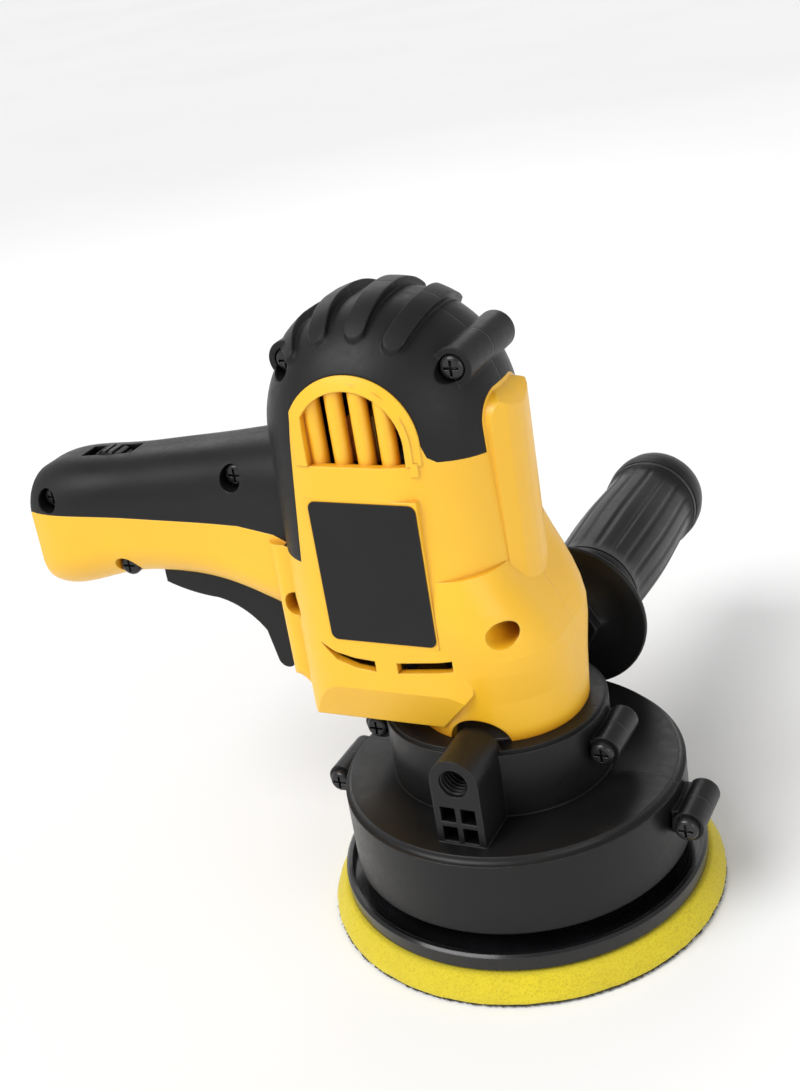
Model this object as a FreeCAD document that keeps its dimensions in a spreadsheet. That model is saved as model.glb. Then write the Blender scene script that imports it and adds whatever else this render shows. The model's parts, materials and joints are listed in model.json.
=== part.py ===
import FreeCAD, Part

import math
import os
import sys

import Sketcher

sys.path.append(os.path.join(FreeCAD.getHomePath(), "Mod", "PartDesign"))
from fcgear import fcgear, involute

# Compact rotary polisher with a 125 mm pad, in millimetres.
# The origin is the centre of the pad's working face, +Z runs up the spindle,
# the rear handle points to -X and the side handle to +Y.
# The casings are halves that meet on the plane Y = 0.

DIMENSIONS = {
    # pad and backing plate
    "pad_radius": 62.5,
    "pad_top_radius": 58.2,
    "hook_height": 1.3,
    "foam_top": 8.3,
    "plate_radius": 57.5,
    "plate_floor": 11,
    "plate_rim": 14.2,
    "plate_rim_width": 2,
    "plate_step_radius": 41,
    "plate_hub_radius": 15,
    "plate_hub_top": 19,
    "insert_radius": 10,
    "insert_bottom": 9,
    # spindle
    "nose_radius": 6.9,
    "spindle_bottom": 9.6,
    "shoulder_radius": 10,
    "shoulder_bottom": 21,
    "shoulder_top": 27,
    "spindle_radius": 6,
    "spindle_step": 57,
    "spindle_top": 65.5,
    "spindle_end_radius": 4,
    "fit_gap": 0.04,
    "key_width": 3,
    "key_height": 3,
    # bearings
    "spindle_bearing_z": 30,
    "spindle_bearing_height": 8,
    "spindle_bearing_radius": 14,
    "small_bearing_radius": 11,
    "small_bearing_height": 7,
    "small_bearing_bore": 4,
    "top_bearing_z": 58,
    "motor_bearing_z": 76.5,
    "dome_bearing_z": 171,
    # gears
    "gear_module": 0.8,
    "gear_teeth": 41,
    "pinion_teeth": 9,
    "pressure_angle": 20,
    "gear_shift": -0.5,
    "pinion_shift": 0.35,
    "gear_bottom": 47.5,
    "gear_height": 8,
    "pinion_bottom": 46.5,
    "pinion_height": 10,
    "motor_x": -20,
    # gear housing
    "drum_radius": 53,
    "drum_bottom": 17.7,
    "drum_top": 44.1,
    "drum_wall": 3,
    "hub_radius": 18,
    "hub_bottom": 28,
    "collar_radius": 31.5,
    "collar_shift": 6,
    "collar_wall": 3.2,
    "collar_top": 66,
    "shelf_radius": 19.5,
    "lug_radius": 4.8,
    "lug_length": 9.2,
    "drum_lug_x": 57.5,
    "drum_lug_z": 33.7,
    "collar_lug_x": 37,
    "collar_lug_z": 56.6,
    "boss_x": 2.5,
    "boss_z": 64.8,
    "boss_half_width": 7.5,
    "boss_face": 45.8,
    "boss_thread_radius": 4.5,
    "boss_thread_depth": 18,
    "window_width": 4.7,
    "window_height": 5,
    "window_gap": 1.6,
    "window_depth": 6,
    # body casing
    "wall": 2.6,
    "barrel_left": -56,
    "barrel_right": 14,
    "half_depth": 31,
    "dome_z": 160,
    "dome_round_right": 29,
    "dome_round_left": 23,
    "low_round_right": 16,
    "low_round_left": 18,
    "body_bottom": 70,
    "neck_radius": 25.8,
    "spigot_radius": 25,
    "spigot_bottom": 60,
    "neck_shoulder": 95,
    "neck_tip_z": 116,
    "neck_tip_radius": 10,
    "ridge_half": 12.5,
    "ridge_crest_half": 8,
    "ridge_x": 18.2,
    "ridge_top": 168,
    "ridge_bottom": 109.5,
    "ridge_corner": 8,
    "heel_x": -61.5,
    "heel_half": 21,
    "heel_bottom": 72,
    "heel_top": 124,
    "heel_corner": 6,
    "heel_round": 5,
    "rib_height": 2.6,
    "rib_width": 6,
    "rib_reach": 19.5,
    "rib_pitch": 22.3,
    "rib_count": 4,
    "first_rib_angle": 64,
    "chin_top": 83.5,
    "chin_depth": 5,
    "chin_end_low": -8,
    "chin_end_high": 4.5,
    "dome_boss_radius": 5.8,
    "dome_screw_seat": 14,
    "arch_left": -38.5,
    "arch_right": -0.9,
    "arch_radius": 20.1,
    "arch_foot": 154.5,
    "arch_relief": 0.45,
    "arch_rim": 4,
    "bar_radius": 2.6,
    "bar_setback": 4.3,
    "bar_pitch": 7.3,
    "bar_count": 5,
    "first_bar_x": -32.6,
    "label_left": -37,
    "label_right": -3.5,
    "label_bottom": 100,
    "label_top": 143.8,
    "label_thickness": 0.35,
    # screws
    "screw_radius": 1.95,
    "screw_hole": 2.05,
    "head_radius": 3.6,
    "head_height": 2.6,
    "screw_length": 22,
    "pocket_radius": 3.9,
    "internal_boss": 5.8,
    # motor
    "shaft_radius": 4,
    "shaft_tip_radius": 2.2,
    "shaft_bottom": 45.8,
    "shaft_step": 57.5,
    "shaft_top": 178.5,
    "fan_bottom": 86,
    "fan_height": 12,
    "fan_radius": 25.5,
    "fan_blades": 13,
    "core_bottom": 105,
    "core_top": 143,
    "core_radius": 16,
    "core_slots": 12,
    "stator_radius": 27.4,
    "stator_bore": 16.8,
    "winding_reach": 6,
    "commutator_bottom": 153,
    "commutator_top": 167,
    "commutator_radius": 11,
    "coil_outer": 22.2,
    "pole_half": 14,
    "pole_gap": 1.2,
    "commutator_bars": 24,
    "brush_width": 6,
    "brush_height": 10,
    "brush_inner": 11.4,
    "brush_outer": 19.2,
    "holder_outer": 23.9,
    # rear handle
    "handle_end_x": -152,
    "split_z": 127.6,
    # controls
    "trigger_half": 7.5,
    "lock_x": -90,
    "lock_z": 122,
    "lock_radius": 5,
    "lock_face": 19.6,
    "wheel_x": -126,
    "wheel_z": 134.4,
    "wheel_radius": 10,
    "wheel_width": 7,
    "wheel_notches": 24,
    "spring_x": -74.5,
    "spring_radius": 2.6,
    "spring_wire": 0.45,
    "spring_low": 96,
    "spring_high": 114,
    "cord_z": 118.4,
    "cord_radius": 3.5,
    # side handle
    "side_start": 46.3,
    "guard_y": 54.2,
    "guard_radius": 25.6,
    "grip_end": 160,
    "grip_radius": 16,
    "stud_radius": 4.45,
    # half the size of a block that holds the whole tool
    "workspace": 300,
}

V = FreeCAD.Vector
DOWN_Y = FreeCAD.Rotation(V(1, 0, 0), 90)
UP_Y = FreeCAD.Rotation(V(1, 0, 0), -90)
UP_X = FreeCAD.Rotation(V(0, 1, 0), 90)
UP_Z = FreeCAD.Rotation()
AXES = ("x", "y", "z")

doc = FreeCAD.newDocument("rotary_polisher")
sheet = doc.addObject("Spreadsheet::Sheet", "dim")
parts = []


def fill_sheet():
    """Writes every driving dimension into its own named cell."""
    for row, (alias, value) in enumerate(DIMENSIONS.items(), start=1):
        sheet.set(f"A{row}", str(value))
        sheet.setAlias(f"A{row}", alias)
    doc.recompute()


def dim(formula):
    """Spells a formula of dimension names the way the sheet is addressed."""
    words = []
    word = ""
    for letter in str(formula) + " ":
        if letter.isalnum() or letter in "_.":
            word += letter
            continue
        words.append("dim." + word if word in DIMENSIONS else word)
        words.append(letter)
        word = ""
    return "".join(words).strip()


def value(formula):
    return float(sheet.evalExpression(dim(formula)))


def bind(item, **formulas):
    for name, formula in formulas.items():
        item.setExpression(name, dim(formula))
    return item


def place(item, base, rotation=UP_Z):
    item.Placement = FreeCAD.Placement(V(*[value(b) for b in base]), rotation)
    for axis, formula in zip(AXES, base):
        item.setExpression(f"Placement.Base.{axis}", dim(formula))
    return item


def cylinder(name, radius, height, base=("0", "0", "0"), rotation=UP_Z):
    item = doc.addObject("Part::Cylinder", name)
    bind(item, Radius=radius, Height=height)
    return place(item, base, rotation)


def box(name, x, y, z):
    """A block between two formulas on each axis."""
    item = doc.addObject("Part::Box", name)
    bind(item, Length=f"({x[1]})-({x[0]})", Width=f"({y[1]})-({y[0]})", Height=f"({z[1]})-({z[0]})")
    return place(item, (x[0], y[0], z[0]))


def fuse(name, shapes):
    if len(shapes) == 1:
        return shapes[0]
    item = doc.addObject("Part::MultiFuse", name)
    item.Shapes = shapes
    item.Refine = True
    return item


def cut(name, base, tools):
    item = doc.addObject("Part::Cut", name)
    item.Base = base
    item.Tool = fuse(name + "_tools", tools)
    item.Refine = True
    return item


def common(name, first, second):
    item = doc.addObject("Part::MultiCommon", name)
    item.Shapes = [first, second]
    item.Refine = True
    return item


def group(name, shapes):
    """Separate solids that share one node."""
    item = doc.addObject("Part::Compound", name)
    item.Links = shapes
    return item


def sketch_on(body, role, outline):
    """Draws a closed outline: points as pairs of formulas, arcs as a radius between two points.

    An arc is written (radius, side); side 1 bulges to the left of the way travelled, -1 to the right.
    The radius "half" makes a half circle over a level chord.
    """
    sketch = body.newObject("Sketcher::SketchObject", body.Name + "_sketch")
    plane = [feature for feature in body.Origin.OriginFeatures if feature.Role == role][0]
    sketch.AttachmentSupport = (plane, [""])
    sketch.MapMode = "FlatFace"
    corners = [item for item in outline if isinstance(item[1], str)]
    spans = []
    for item in outline:
        if isinstance(item[1], str):
            spans.append(None)
        else:
            spans[-1] = item
    spots = [V(value(x), value(y), 0) for x, y in corners]
    count = len(spots)
    ends = []
    for index, span in enumerate(spans):
        start, finish = spots[index], spots[(index + 1) % count]
        if span is None:
            sketch.addGeometry(Part.LineSegment(start, finish), False)
            ends.append((1, 2))
            continue
        chord = finish - start
        half = chord.Length / 2
        radius, side = half if span[0] == "half" else value(span[0]), span[1]
        normal = V(-chord.y, chord.x, 0).normalize() * side
        middle = (start + finish) * 0.5
        crown = middle + normal * (radius - math.sqrt(max(radius * radius - half * half, 0)))
        sketch.addGeometry(Part.Arc(start, crown, finish), False)
        ends.append((2, 1) if side > 0 else (1, 2))
    for index, (x, y) in enumerate(corners):
        first, before = ends[index][0], ends[index - 1][1]
        previous = index - 1 if index else count - 1
        sketch.addConstraint(Sketcher.Constraint("Coincident", previous, before, index, first))
        for kind, formula, number in (("DistanceX", x, spots[index].x), ("DistanceY", y, spots[index].y)):
            mark = sketch.addConstraint(Sketcher.Constraint(kind, -1, 1, index, first, number))
            sketch.setExpression(f"Constraints[{mark}]", dim(formula))
    for index, span in enumerate(spans):
        if span is None:
            continue
        if span[0] == "half":
            formula = corners[index][1]
            mark = sketch.addConstraint(Sketcher.Constraint("DistanceY", -1, 1, index, 3, value(formula)))
        else:
            formula = span[0]
            mark = sketch.addConstraint(Sketcher.Constraint("Radius", index, value(formula)))
        sketch.setExpression(f"Constraints[{mark}]", dim(formula))
    return sketch


def turned(name, outline, base=("0", "0", "0"), rotation=UP_Z):
    """Revolves an outline of (radius, height) points about the body's own Z axis."""
    body = doc.addObject("PartDesign::Body", name)
    sketch = sketch_on(body, "XZ_Plane", outline)
    turn = body.newObject("PartDesign::Revolution", name + "_turn")
    turn.Profile = sketch
    turn.ReferenceAxis = (sketch, ["V_Axis"])
    turn.Angle = 360
    return place(body, base, rotation)


def slab(name, outline, half_depth, role="XZ_Plane"):
    """Pads an outline by the same depth to both sides of its plane."""
    body = doc.addObject("PartDesign::Body", name)
    sketch = sketch_on(body, role, outline)
    pad = body.newObject("PartDesign::Pad", name + "_pad")
    pad.Profile = sketch
    pad.Midplane = True
    bind(pad, Length=f"2*({half_depth})")
    doc.recompute()
    return body


def round_edges(body, radius, keep):
    """Fillets the edges of the body's last feature that the keep test picks."""
    base = body.Tip
    names = [f"Edge{i}" for i, edge in enumerate(base.Shape.Edges, start=1) if keep(edge)]
    fillet = body.newObject("PartDesign::Fillet", body.Name + f"_round{len(body.Group)}")
    fillet.Base = (base, names)
    bind(fillet, Radius=radius)
    body.Tip = fillet
    doc.recompute()
    return body


def tube(name, outer, inner, low, high, x="0"):
    """A plain ring about a vertical axis."""
    return turned(name, [(inner, low), (outer, low), (outer, high), (inner, high)], (x, "0", "0"))


def keep_part(item, label):
    """Marks an object as one finished sub-part."""
    item.Label = label
    parts.append(item)
    return item


def half(name, whole, side):
    """The front (-Y) or back (+Y) half of a shape."""
    y = ("-workspace", "0") if side == "front" else ("0", "workspace")
    return common(name, whole, box(name + "_side", ("-workspace", "workspace"), y, ("-10", "workspace")))


# ---------------------------------------------------------------- pad and spindle


def make_pad():
    disc = turned("hook_disc_body", [("0", "0"), ("pad_radius-0.6", "0"), ("pad_radius", "hook_height"),
                                     ("0", "hook_height")])
    keep_part(disc, "hook_loop_disc")
    foam = turned("foam_body", [
        ("0", "hook_height"), ("pad_radius-0.5", "hook_height"), ("pad_radius-0.6", "hook_height+2.4"),
        ("pad_top_radius", "foam_top"), ("0", "foam_top")])
    keep_part(foam, "foam_pad")
    rim_in = "plate_radius-plate_rim_width"
    plate = turned("plate_body", [
        ("insert_radius", "foam_top"), ("plate_radius-1", "foam_top"), ("plate_radius", "foam_top+1"),
        ("plate_radius", "plate_rim-0.8"), ("plate_radius-0.8", "plate_rim"), (rim_in, "plate_rim"),
        (rim_in, "plate_floor"), ("plate_step_radius+1.2", "plate_floor"),
        ("plate_step_radius", "plate_floor+2.4"), ("plate_hub_radius+4", "plate_floor+2.4"),
        ("plate_hub_radius", "plate_hub_top"), ("insert_radius", "plate_hub_top")])
    keep_part(plate, "backing_plate")
    flat = "insert_radius*0.87"
    insert = turned("insert_body", [
        ("nose_radius+fit_gap", "insert_bottom"), ("insert_radius", "insert_bottom"),
        ("insert_radius", "plate_hub_top-3"), (flat, "plate_hub_top-3"), (flat, "shoulder_bottom"),
        ("nose_radius+fit_gap", "shoulder_bottom")])
    keep_part(insert, "plate_hub_insert")


def make_spindle():
    shaft = turned("spindle_body", [
        ("0", "spindle_bottom"), ("nose_radius-0.8", "spindle_bottom"),
        ("nose_radius", "spindle_bottom+0.8"),
        ("nose_radius", "shoulder_bottom"), ("shoulder_radius", "shoulder_bottom"),
        ("shoulder_radius", "shoulder_top"), ("spindle_radius+1.6", "shoulder_top"),
        ("spindle_radius+1.6", "spindle_bearing_z"), ("spindle_radius", "spindle_bearing_z"),
        ("spindle_radius", "spindle_step"), ("spindle_end_radius", "spindle_step"),
        ("spindle_end_radius", "spindle_top-0.6"), ("spindle_end_radius-0.6", "spindle_top"),
        ("0", "spindle_top")])
    flats = [box(f"flat_{side}", ("-20", "20"), reach, ("shoulder_bottom", "shoulder_top"))
             for side, reach in (("front", ("-20", "-8.5")), ("back", ("8.5", "20")))]
    key_seat = box("key_seat", ("-key_width/2", "key_width/2"), ("spindle_radius-key_height/2", "20"),
                   ("gear_bottom", "gear_bottom+gear_height"))
    keep_part(cut("spindle_cut", shaft, flats + [key_seat]), "spindle")
    key = box("key_body", ("-key_width/2", "key_width/2"),
              ("spindle_radius-key_height/2", "spindle_radius+key_height/2"),
              ("gear_bottom", "gear_bottom+gear_height"))
    keep_part(key, "spindle_key")
    clip_low = "gear_bottom-1.4"
    clip = tube("clip_body", "spindle_radius+2.6", "spindle_radius", clip_low, "gear_bottom-0.2")
    gap = box("clip_gap", ("0", "20"), ("-2.2", "2.2"), (clip_low + "-1", "gear_bottom"))
    keep_part(cut("clip_cut", clip, [gap]), "retaining_ring")


def make_bearing(name, bore, outer, low, height, x, balls):
    """Outer ring, inner ring and ball set of one deep-groove bearing."""
    width = f"({outer}-{bore})"
    race = f"({outer}+{bore})/2"
    ball = f"{width}*0.26"
    groove = f"({ball}+fit_gap)"
    middle = f"{low}+{height}/2"
    high = f"{low}+{height}"
    reach = f"sqrt({groove}*{groove}-{width}*{width}*0.04)"
    outer_wall = f"{outer}-{width}*0.3"
    inner_wall = f"{bore}+{width}*0.3"
    base = (x, "0", "0")
    outer_ring = turned(name + "_outer", [
        (outer_wall, low), (outer, low), (outer, high), (outer_wall, high),
        (outer_wall, f"{middle}+{reach}"),
        (groove, 1), (outer_wall, f"{middle}-{reach}")], base)
    inner_ring = turned(name + "_inner", [
        (bore, low), (inner_wall, low), (inner_wall, f"{middle}-{reach}"), (groove, 1),
        (inner_wall, f"{middle}+{reach}"), (inner_wall, high), (bore, high)], base)
    ball_set = []
    for index in range(balls):
        turn = 2 * math.pi * index / balls
        sphere = doc.addObject("Part::Sphere", f"{name}_ball_{index}")
        bind(sphere, Radius=ball)
        place(sphere, (f"{x}+{race}*{math.cos(turn):.4f}", f"{race}*{math.sin(turn):.4f}", middle))
        ball_set.append(sphere)
    return outer_ring, inner_ring, ball_set


def make_bearings():
    low = make_bearing("spindle_low", "spindle_radius", "spindle_bearing_radius", "spindle_bearing_z",
                       "spindle_bearing_height", "0", 9)
    top = make_bearing("spindle_top", "small_bearing_bore", "small_bearing_radius", "top_bearing_z",
                       "small_bearing_height", "0", 7)
    fan = make_bearing("motor_low", "small_bearing_bore", "small_bearing_radius", "motor_bearing_z",
                       "small_bearing_height", "motor_x", 7)
    dome = make_bearing("motor_top", "small_bearing_bore", "small_bearing_radius", "dome_bearing_z",
                        "small_bearing_height", "motor_x", 7)
    for name, first, second in (("spindle_bearing", low, top), ("motor_bearing", fan, dome)):
        keep_part(group(name + "_outers", [first[0], second[0]]), name + "_outer_rings")
        keep_part(group(name + "_inners", [first[1], second[1]]), name + "_inner_rings")
        keep_part(group(name + "_ball_set", first[2] + second[2]), name + "_balls")


def gear_outline(teeth, shift):
    """Involute spur-gear wire in the XY plane, with a tooth centred on +X."""
    builder = fcgear.FCWireBuilder()
    involute.CreateExternalGear(builder, value("gear_module"), teeth, value("pressure_angle"),
                                split=True, shiftCoeff=shift)
    return Part.Wire([edge.toShape() for edge in builder.wire])


def gear_blank(teeth, shift, low, height, bore, x):
    """A solid spur gear with a round bore, standing on the vertical axis at x."""
    wire = gear_outline(int(value(teeth)), value(shift))
    solid = Part.Face(wire).extrude(V(0, 0, value(height)))
    solid = solid.cut(Part.makeCylinder(value(bore), value(height)))
    solid.translate(V(value(x), 0, value(low)))
    return solid


def make_gears():
    wheel = doc.addObject("Part::Feature", "gear_blank")
    wheel.Shape = gear_blank("gear_teeth", "gear_shift", "gear_bottom", "gear_height", "spindle_radius", "0")
    seat = box("gear_key_seat", ("-key_width/2", "key_width/2"), ("0", "spindle_radius+key_height/2"),
               ("gear_bottom-1", "gear_bottom+gear_height+1"))
    keep_part(cut("gear_cut", wheel, [seat]), "spindle_gear")
    pinion = doc.addObject("Part::Feature", "pinion")
    pinion.Shape = gear_blank("pinion_teeth", "pinion_shift", "pinion_bottom", "pinion_height",
                              "shaft_tip_radius", "motor_x")
    keep_part(pinion, "motor_pinion")


# ---------------------------------------------------------------- gear housing


def stadium(name, radius, low, high, shift="collar_shift"):
    """An upright oval prism: two rounds joined, the second one moved to -X."""
    height = f"({high})-({low})"
    near = cylinder(name + "_near", radius, height, ("0", "0", low))
    far = cylinder(name + "_far", radius, height, (f"-({shift})", "0", low))
    bridge = box(name + "_bridge", (f"-({shift})", "0"), (f"-({radius})", radius), (low, high))
    return fuse(name, [near, far, bridge])


def handle_boss(side):
    """Arched block on the drum that takes the side handle's stud; side is -1 in front, 1 behind."""
    inner, face = "collar_radius-4", "boss_face"
    y = (f"-({face})", f"-({inner})") if side < 0 else (inner, face)
    start = (f"-({face})" if side < 0 else inner)
    name = "front_boss" if side < 0 else "back_boss"
    block = box(name + "_block", ("boss_x-boss_half_width", "boss_x+boss_half_width"), y,
                ("drum_top-1", "boss_z"))
    crown = cylinder(name + "_crown", "boss_half_width", f"{face}-({inner})", ("boss_x", start, "boss_z"),
                     UP_Y)
    return fuse(name, [block, crown])


def boss_cuts(side):
    """The threaded hole and the four core-outs of one handle boss."""
    name = "front_cut" if side < 0 else "back_cut"
    start = "-(boss_face+1)" if side < 0 else "boss_face-boss_thread_depth"
    tools = [cylinder(name + "_thread", "boss_thread_radius", "boss_thread_depth+1",
                      ("boss_x", start, "boss_z"), UP_Y)]
    y = ("-boss_face-1", "window_depth-boss_face") if side < 0 else ("boss_face-window_depth", "boss_face+1")
    for column, x in enumerate(("boss_x-window_gap/2-window_width", "boss_x+window_gap/2")):
        for row, z in enumerate(("drum_top+window_gap/2", "drum_top+window_gap*1.5+window_height")):
            tools.append(box(f"{name}_window_{column}{row}", (x, f"{x}+window_width"), y,
                             (z, f"{z}+window_height")))
    return tools


def lug(name, x, z, web_x):
    """A screw lug along Y with a web back to the wall."""
    start = "-lug_length"
    post = cylinder(name, "lug_radius", "2*lug_length", (x, start, z), UP_Y)
    web = box(name + "_web", web_x, ("-lug_length+1.5", "lug_length-1.5"),
              (f"{z}-lug_radius*0.8", f"{z}+lug_radius*0.8"))
    return [post, web]


LUGS = (
    ("drum_lug_right", "drum_lug_x", "drum_lug_z", ("drum_radius-2", "drum_lug_x")),
    ("drum_lug_left", "-drum_lug_x", "drum_lug_z", ("-drum_lug_x", "-drum_radius+2")),
    ("collar_lug_right", "collar_lug_x-collar_shift/2", "collar_lug_z",
     ("collar_radius-2.5", "collar_lug_x-collar_shift/2")),
    ("collar_lug_left", "-collar_lug_x-collar_shift/2", "collar_lug_z",
     ("-collar_lug_x-collar_shift/2", "-collar_radius-collar_shift+2.5")),
)


def make_gear_housing():
    inner = "drum_radius-drum_wall"
    hollow = "collar_radius-collar_wall"
    drum = turned("drum_form", [
        ("0", "hub_bottom"), ("hub_radius", "hub_bottom"), ("hub_radius", "drum_top-drum_wall"),
        (f"{inner}-3", "drum_top-drum_wall"), ("3", -1), (inner, "drum_top-drum_wall-3"),
        (inner, "drum_bottom"),
        ("drum_radius-1", "drum_bottom"), ("drum_radius", "drum_bottom+1"),
        ("drum_radius", "drum_top-2"), ("2", 1), ("drum_radius-2", "drum_top"), ("0", "drum_top")])
    collar = stadium("collar_form", "collar_radius", "drum_top-1", "collar_top-1")
    rim = stadium("collar_rim", "collar_radius-1", "collar_top-1", "collar_top")
    solids = [drum, collar, rim, handle_boss(-1), handle_boss(1)]
    for name, x, z, web in LUGS:
        solids += lug(name, x, z, web)
    chamber = stadium("gear_chamber", hollow, "drum_top+0.4", "collar_top-7")
    mouth = cylinder("collar_mouth", "spigot_radius+0.05", "20", ("0", "0", "collar_top-8"))
    shelf = stadium("plate_shelf", hollow, "top_bearing_z-3.2", "top_bearing_z")
    shelf_bore = stadium("shelf_bore", "shelf_radius", "top_bearing_z-4", "top_bearing_z+1")
    tools = [chamber, mouth,
             cylinder("bearing_seat", "spindle_bearing_radius", "spindle_bearing_height",
                      ("0", "0", "spindle_bearing_z")),
             cylinder("spindle_way", "spindle_bearing_radius-3", "30", ("0", "0", "hub_bottom-1"))]
    tools += boss_cuts(-1) + boss_cuts(1)
    for name, x, z, _ in LUGS:
        tools.append(cylinder(name + "_hole", "screw_hole", "2*lug_length+2", (x, "-lug_length-1", z), UP_Y))
    hollowed = cut("housing_hollow", fuse("housing_solid", solids), tools)
    ledge = cut("housing_ledge", shelf, [shelf_bore])
    whole = fuse("housing_whole", [hollowed, ledge])
    keep_part(half("housing_front_half", whole, "front"), "gear_housing_front")
    keep_part(half("housing_back_half", whole, "back"), "gear_housing_back")
    plate = cylinder("bridge_disc", "spigot_radius-wall-0.1", "small_bearing_height",
                     ("0", "0", "top_bearing_z"))
    notch = box("bridge_notch", ("motor_x-12", "motor_x+6"), ("-6", "6"),
                ("top_bearing_z-1", "top_bearing_z+9"))
    bore = cylinder("bridge_bore", "small_bearing_radius", "small_bearing_height+2",
                    ("0", "0", "top_bearing_z-1"))
    keep_part(cut("bridge_cut", plate, [notch, bore]), "bearing_bridge")


# ---------------------------------------------------------------- body casing


def barrel(name, inset, swell="0"):
    """The motor barrel with its domed top; its edges grow rounder towards the dome."""
    left = f"barrel_left+({inset})-({swell})"
    right = f"barrel_right-({inset})+({swell})"
    low = f"body_bottom+({inset})"
    body = slab(name + "_form", [(left, low), (left, "dome_z"), ("half", 1), (right, "dome_z"),
                                 (right, low)],
                f"half_depth-({inset})")
    middle = value("barrel_left+barrel_right") / 2
    crown = value("dome_z")
    largest = value(f"half_depth-({inset})-2")

    def radius_at(point):
        """The rounding at one end of an edge."""
        side = "right" if point.x > middle else "left"
        where = "low" if point.z < crown - 1 else "dome"
        return min(value(f"{where}_round_{side}+({swell})-({inset})"), largest)

    rim = []
    for index, edge in enumerate(body.Shape.Edges, start=1):
        bounds = edge.BoundBox
        if bounds.YLength > 0.01 or bounds.ZMax < crown - 0.01:
            continue
        first, last = edge.firstVertex().Point, edge.lastVertex().Point
        rim.append((index, radius_at(first), radius_at(last)))
    rounded = doc.addObject("Part::Fillet", name)
    rounded.Base = body
    rounded.Edges = rim
    doc.recompute()
    return rounded


NECK_SECTIONS = (
    # height, right-hand reach, half depth, corner radius
    ("collar_top", "neck_radius", "neck_radius-0.2", "neck_radius-1"),
    ("80", "neck_radius", "27.8", "24.5"),
    ("90", "neck_radius", "29.4", "22.5"),
    ("95", "25.3", "30", "21.5"),
    ("99.5", "23.6", "30.4", "20"),
    ("104", "21.4", "30.7", "19"),
    ("109", "18.7", "30.7", "18"),
    ("114", "15.9", "30.4", "17"),
    ("120", "13.2", "29.6", "16"),
)


def rounded_loft(name, role, sections, ruled=False):
    """Lofts through rounded rectangles: offset, centre and half size across and up, corner radius."""
    body = doc.addObject("PartDesign::Body", name)
    sketches = []
    for offset, across, up, wide, tall, r in sections:
        left, right = f"{across}-{wide}", f"{across}+{wide}"
        low, high = f"{up}-{tall}", f"{up}+{tall}"
        sketch = sketch_on(body, role, [
            (f"{left}+{r}", low), (f"{right}-{r}", low), (r, -1), (right, f"{low}+{r}"),
            (right, f"{high}-{r}"),
            (r, -1), (f"{right}-{r}", high), (f"{left}+{r}", high), (r, -1), (left, f"{high}-{r}"),
            (left, f"{low}+{r}"), (r, -1)])
        sketch.AttachmentOffset = FreeCAD.Placement(V(0, 0, value(offset)), FreeCAD.Rotation())
        sketch.setExpression("AttachmentOffset.Base.z", dim(offset))
        sketches.append(sketch)
    loft = body.newObject("PartDesign::AdditiveLoft", name + "_loft")
    loft.Profile = sketches[0]
    loft.Sections = sketches[1:]
    loft.Ruled = ruled
    return body


def neck_outer():
    """The round lower end of the casing, which flows up into the barrel's right-hand side."""
    sections = []
    for height, reach, depth, r in NECK_SECTIONS:
        wide = f"(({reach}+neck_radius)/2)"
        sections.append((height, f"(({reach}-neck_radius)/2)", "0", wide, f"({depth})", f"({r})"))
    flow = rounded_loft("neck_flow", "XY_Plane", sections, ruled=True)
    spigot = cylinder("neck_spigot", "spigot_radius", "collar_top-spigot_bottom+1",
                      ("0", "0", "spigot_bottom"))
    return fuse("neck_outer", [flow, spigot])


def neck_inner():
    """The room in the neck, open at the bottom."""
    bore = "spigot_radius-wall"
    return turned("neck_inner", [
        ("0", "spigot_bottom-1"), (bore, "spigot_bottom-1"), (bore, "neck_shoulder"),
        ("neck_tip_radius", "neck_tip_z"), ("0", "neck_tip_z")])


def ridge_outline(grow):
    """The ridge seen from the side: rounded at the top, tapered at the bottom."""
    wide, r = f"(ridge_half+{grow})", f"(ridge_corner+{grow})"
    top = f"(ridge_top+{grow})"
    return [
        (f"-{wide}", "ridge_bottom+7"), ("-ridge_crest_half", "ridge_bottom"), ("-ridge_crest_half", "90"),
        ("ridge_crest_half", "90"), ("ridge_crest_half", "ridge_bottom"), (wide, "ridge_bottom+7"),
        (wide, f"{top}-{r}"), (r, -1), (f"{wide}-{r}", top), (f"{r}-{wide}", top), (r, -1),
        (f"-{wide}", f"{top}-{r}")]


def ridge():
    """The spine on the +X side, with sloped flanks and a rounded crest."""
    section = slab("ridge_section", [
        ("0", "-ridge_half"), ("barrel_right-0.2", "-ridge_half"), ("ridge_x-1.4", "-ridge_crest_half"),
        ("26", -1),
        ("ridge_x-1.4", "ridge_crest_half"), ("barrel_right-0.2", "ridge_half"), ("0", "ridge_half")],
        "200", "XY_Plane")
    side = slab("ridge_side", [
        ("0", "95"), ("ridge_x+3", "95"), ("ridge_x", "ridge_bottom"), ("ridge_x", "ridge_top-6"), ("9", -1),
        ("ridge_x-5.5", "ridge_top"), ("0", "ridge_top")], "40")
    face = slab("ridge_face", ridge_outline("0"), "60", "YZ_Plane")
    return common("ridge", common("ridge_bar", section, side), face)


HANDLE_SECTIONS = (
    # distance from the spindle, height of the middle, half height, half width
    ("40", "123.5", "29.5", "19.5"),
    ("60", "123.8", "28.5", "18.5"),
    ("80", "125.8", "23.6", "17"),
    ("105", "125.6", "20.4", "16.8"),
    ("128", "122.8", "20.6", "17.4"),
    ("145", "119.6", "21.6", "17.6"),
    ("-handle_end_x", "118.4", "20.2", "15.8"),
)


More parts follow.
